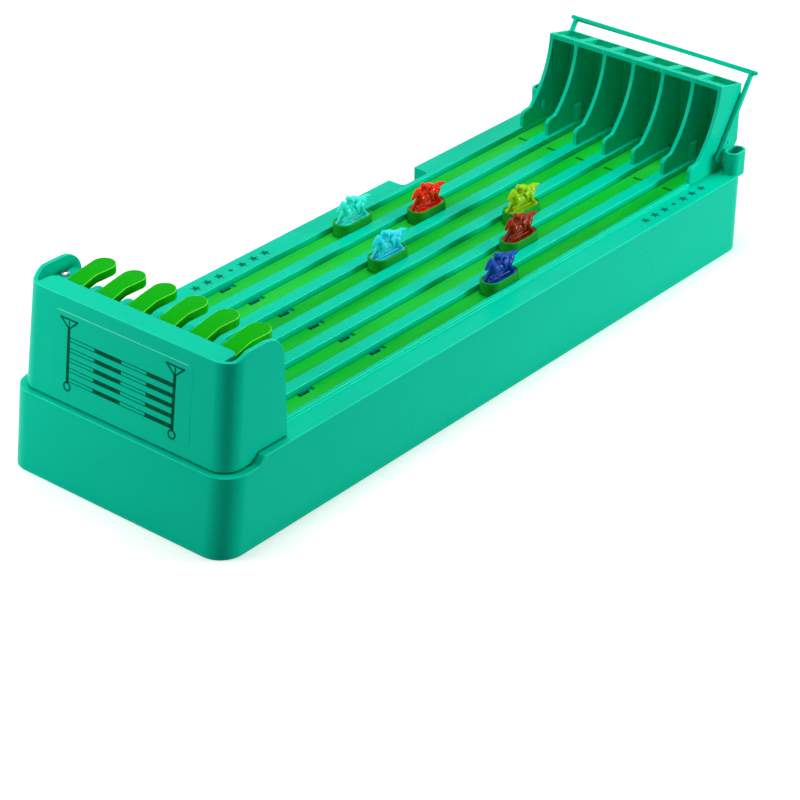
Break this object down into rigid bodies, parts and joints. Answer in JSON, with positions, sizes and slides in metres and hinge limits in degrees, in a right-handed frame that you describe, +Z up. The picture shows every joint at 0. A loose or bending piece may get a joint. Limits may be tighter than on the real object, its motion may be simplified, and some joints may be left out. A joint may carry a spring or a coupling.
{
  "type": "tabletop horse race game",
  "caption": "Tabletop horse race game: a long base with parallel lanes, runner strips pulled by finger levers, horses on sliding cups, starting stalls and a swinging start bar.",
  "frame": {"origin": "on the table, under the middle of the base", "axes": "+X right, +Y from the levers to the starting stalls, +Z up"},
  "size_m": [0.144, 0.451, 0.1003],
  "materials": {
    "teal_plastic": "satin gloss",
    "teal_cover": "satin",
    "lever_green": "gloss",
    "strip_green": "satin",
    "cup_green": "satin",
    "horse_turquoise": "gloss, slightly translucent",
    "horse_red": "gloss",
    "horse_sky_blue": "gloss, slightly translucent",
    "horse_lime": "gloss",
    "horse_maroon": "gloss",
    "horse_navy": "gloss",
    "steel_rod": "drawn steel",
    "screw_steel": "bright zinc",
    "spring_steel": "bright wire"
  },
  "bodies": {
    "root": {"base_shell": "teal_plastic", "bottom_cover": "teal_cover", "lever_housing": "teal_plastic", "lever_cradle": "teal_plastic", "axle_rod": "steel_rod", "start_stalls": "teal_plastic", "cover_screws": "screw_steel", "cradle_screws": "screw_steel", "stall_screws": "screw_steel", "return_spring_1": "spring_steel", "return_spring_2": "spring_steel", "return_spring_3": "spring_steel", "return_spring_4": "spring_steel", "return_spring_5": "spring_steel", "return_spring_6": "spring_steel"},
    "lever_1": {"finger_lever_1": "lever_green"},
    "strip_1": {"runner_strip_1": "strip_green"},
    "horse_1": {"horse_cup_1": "cup_green", "race_horse_1": "horse_turquoise"},
    "lever_2": {"finger_lever_2": "lever_green"},
    "strip_2": {"runner_strip_2": "strip_green"},
    "horse_2": {"horse_cup_2": "cup_green", "race_horse_2": "horse_red"},
    "lever_3": {"finger_lever_3": "lever_green"},
    "strip_3": {"runner_strip_3": "strip_green"},
    "horse_3": {"horse_cup_3": "cup_green", "race_horse_3": "horse_sky_blue"},
    "lever_4": {"finger_lever_4": "lever_green"},
    "strip_4": {"runner_strip_4": "strip_green"},
    "horse_4": {"horse_cup_4": "cup_green", "race_horse_4": "horse_lime"},
    "lever_5": {"finger_lever_5": "lever_green"},
    "strip_5": {"runner_strip_5": "strip_green"},
    "horse_5": {"horse_cup_5": "cup_green", "race_horse_5": "horse_maroon"},
    "lever_6": {"finger_lever_6": "lever_green"},
    "strip_6": {"runner_strip_6": "strip_green"},
    "horse_6": {"horse_cup_6": "cup_green", "race_horse_6": "horse_navy"},
    "bail": {"start_bail": "teal_plastic"}
  },
  "joints": [
    {"name": "lever_1_press", "type": "hinge", "parent": "root", "child": "lever_1", "pos_m": [-0.05, -0.192, 0.083], "axis": [-1, 0, 0], "range_deg": [0, 11]},
    {"name": "strip_1_pull", "type": "slide", "parent": "root", "child": "strip_1", "axis": [0, -1, 0], "range_m": [0, 0.00753], "stiffness_N_per_m": 20, "springref_m": -0.01, "deforming": ["return_spring_1"]},
    {"name": "horse_1_run", "type": "slide", "parent": "root", "child": "horse_1", "axis": [0, -1, 0], "range_m": [-0.1713, 0.1737]},
    {"name": "lever_2_press", "type": "hinge", "parent": "root", "child": "lever_2", "pos_m": [-0.03, -0.192, 0.083], "axis": [-1, 0, 0], "range_deg": [0, 11]},
    {"name": "strip_2_pull", "type": "slide", "parent": "root", "child": "strip_2", "axis": [0, -1, 0], "range_m": [0, 0.00753], "stiffness_N_per_m": 20, "springref_m": -0.01, "deforming": ["return_spring_2"]},
    {"name": "horse_2_run", "type": "slide", "parent": "root", "child": "horse_2", "axis": [0, -1, 0], "range_m": [-0.133, 0.212]},
    {"name": "lever_3_press", "type": "hinge", "parent": "root", "child": "lever_3", "pos_m": [-0.01, -0.192, 0.083], "axis": [-1, 0, 0], "range_deg": [0, 11]},
    {"name": "strip_3_pull", "type": "slide", "parent": "root", "child": "strip_3", "axis": [0, -1, 0], "range_m": [0, 0.00753], "stiffness_N_per_m": 20, "springref_m": -0.01, "deforming": ["return_spring_3"]},
    {"name": "horse_3_run", "type": "slide", "parent": "root", "child": "horse_3", "axis": [0, -1, 0], "range_m": [-0.19, 0.155]},
    {"name": "lever_4_press", "type": "hinge", "parent": "root", "child": "lever_4", "pos_m": [0.01, -0.192, 0.083], "axis": [-1, 0, 0], "range_deg": [0, 11]},
    {"name": "strip_4_pull", "type": "slide", "parent": "root", "child": "strip_4", "axis": [0, -1, 0], "range_m": [0, 0.00753], "stiffness_N_per_m": 20, "springref_m": -0.01, "deforming": ["return_spring_4"]},
    {"name": "horse_4_run", "type": "slide", "parent": "root", "child": "horse_4", "axis": [0, -1, 0], "range_m": [-0.101, 0.244]},
    {"name": "lever_5_press", "type": "hinge", "parent": "root", "child": "lever_5", "pos_m": [0.03, -0.192, 0.083], "axis": [-1, 0, 0], "range_deg": [0, 11]},
    {"name": "strip_5_pull", "type": "slide", "parent": "root", "child": "strip_5", "axis": [0, -1, 0], "range_m": [0, 0.00753], "stiffness_N_per_m": 20, "springref_m": -0.01, "deforming": ["return_spring_5"]},
    {"name": "horse_5_run", "type": "slide", "parent": "root", "child": "horse_5", "axis": [0, -1, 0], "range_m": [-0.1296, 0.2154]},
    {"name": "lever_6_press", "type": "hinge", "parent": "root", "child": "lever_6", "pos_m": [0.05, -0.192, 0.083], "axis": [-1, 0, 0], "range_deg": [0, 11]},
    {"name": "strip_6_pull", "type": "slide", "parent": "root", "child": "strip_6", "axis": [0, -1, 0], "range_m": [0, 0.00753], "stiffness_N_per_m": 20, "springref_m": -0.01, "deforming": ["return_spring_6"]},
    {"name": "horse_6_run", "type": "slide", "parent": "root", "child": "horse_6", "axis": [0, -1, 0], "range_m": [-0.1722, 0.1728]},
    {"name": "bail_swing", "type": "hinge", "parent": "root", "child": "bail", "pos_m": [0, 0.2035, 0.0545], "axis": [1, 0, 0], "range_deg": [0, 128]}
  ],
  "couplings": [
    {"joint": "lever_1_press", "follows": "strip_1_pull", "rad_per_m": 25.478},
    {"joint": "lever_2_press", "follows": "strip_2_pull", "rad_per_m": 25.478},
    {"joint": "lever_3_press", "follows": "strip_3_pull", "rad_per_m": 25.478},
    {"joint": "lever_4_press", "follows": "strip_4_pull", "rad_per_m": 25.478},
    {"joint": "lever_5_press", "follows": "strip_5_pull", "rad_per_m": 25.478},
    {"joint": "lever_6_press", "follows": "strip_6_pull", "rad_per_m": 25.478}
  ]
}
